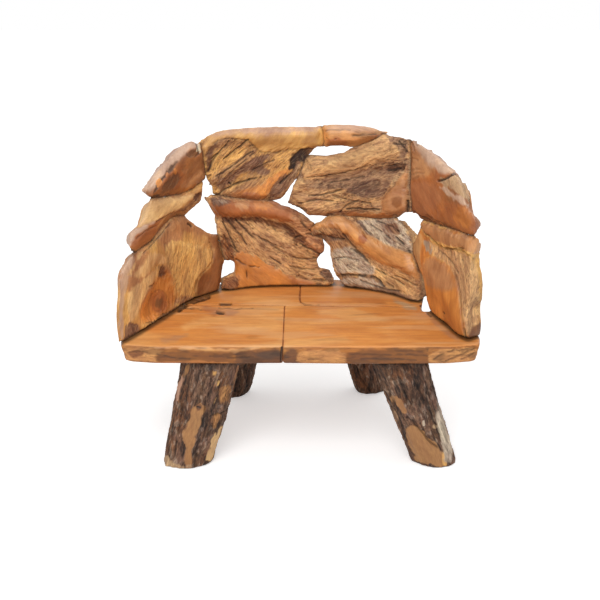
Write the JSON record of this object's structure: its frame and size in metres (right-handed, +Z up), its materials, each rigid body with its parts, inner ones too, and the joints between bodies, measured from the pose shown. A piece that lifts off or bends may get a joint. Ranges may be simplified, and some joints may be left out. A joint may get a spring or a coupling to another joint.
{
  "type": "rustic log bench",
  "caption": "Wide rustic bench of nested teak root blocks: curved back and arms over a thick plank seat on splayed log legs.",
  "frame": {"origin": "on the floor under the middle of the bench's bounding box", "axes": "+X to the right of someone facing the bench, +Y from the front edge to the back, +Z up"},
  "size_m": [1.1782, 0.7404, 1.0349],
  "materials": {
    "seat_teak": "satin",
    "root_polished": "satin",
    "root_weathered": "matt, eroded",
    "leg_bark": "rough",
    "peg_wood": "plain"
  },
  "bodies": {
    "root": {"arm_left_lower": "root_polished", "arm_left_middle": "root_polished", "arm_left_upper": "root_polished", "arm_right_lower": "root_polished", "arm_right_upper": "root_polished", "back_lower_left": "root_weathered", "back_lower_right": "root_weathered", "back_upper_left": "root_weathered", "back_upper_right": "root_weathered", "leg_front_left": "leg_bark", "leg_front_right": "leg_bark", "leg_rear_left": "leg_bark", "leg_rear_right": "leg_bark", "seat_board_front_left": "seat_teak", "seat_board_front_right": "seat_teak", "seat_board_rear_left": "seat_teak", "seat_board_rear_right": "seat_teak", "seat_loose_tenons": "peg_wood", "top_rail_right": "root_polished", "wall_foot_dowels": "peg_wood", "wall_loose_tenons": "peg_wood"}
  },
  "joints": []
}
